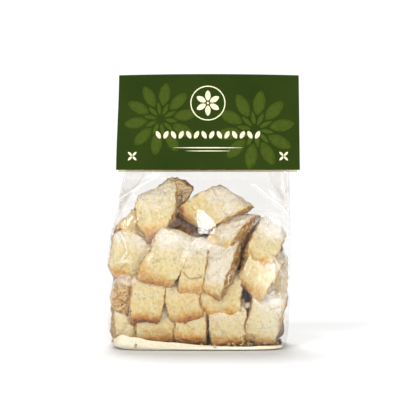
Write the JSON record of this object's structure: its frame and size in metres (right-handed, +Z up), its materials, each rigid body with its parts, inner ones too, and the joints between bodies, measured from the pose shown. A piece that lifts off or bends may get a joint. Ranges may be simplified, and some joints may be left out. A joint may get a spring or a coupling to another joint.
{
  "type": "bag of biscotti",
  "caption": "Clear side-gusseted film bag packed with sliced almond biscuits, standing on a flat block bottom and closed by a folded green header card.",
  "frame": {"origin": "on the ground, under the middle of the pack's bounding box", "axes": "+Z up, -Y towards the front that the picture shows, +X to the right seen from the front"},
  "size_m": [0.1271, 0.0663, 0.18],
  "materials": {
    "filled_bag": "clear thin film tight over pale baked biscuits, soft gloss",
    "header_card": "uncoated dark green printed card, satin"
  },
  "bodies": {
    "root": {"filled_bag": "filled_bag", "header_card": "header_card"}
  },
  "joints": []
}
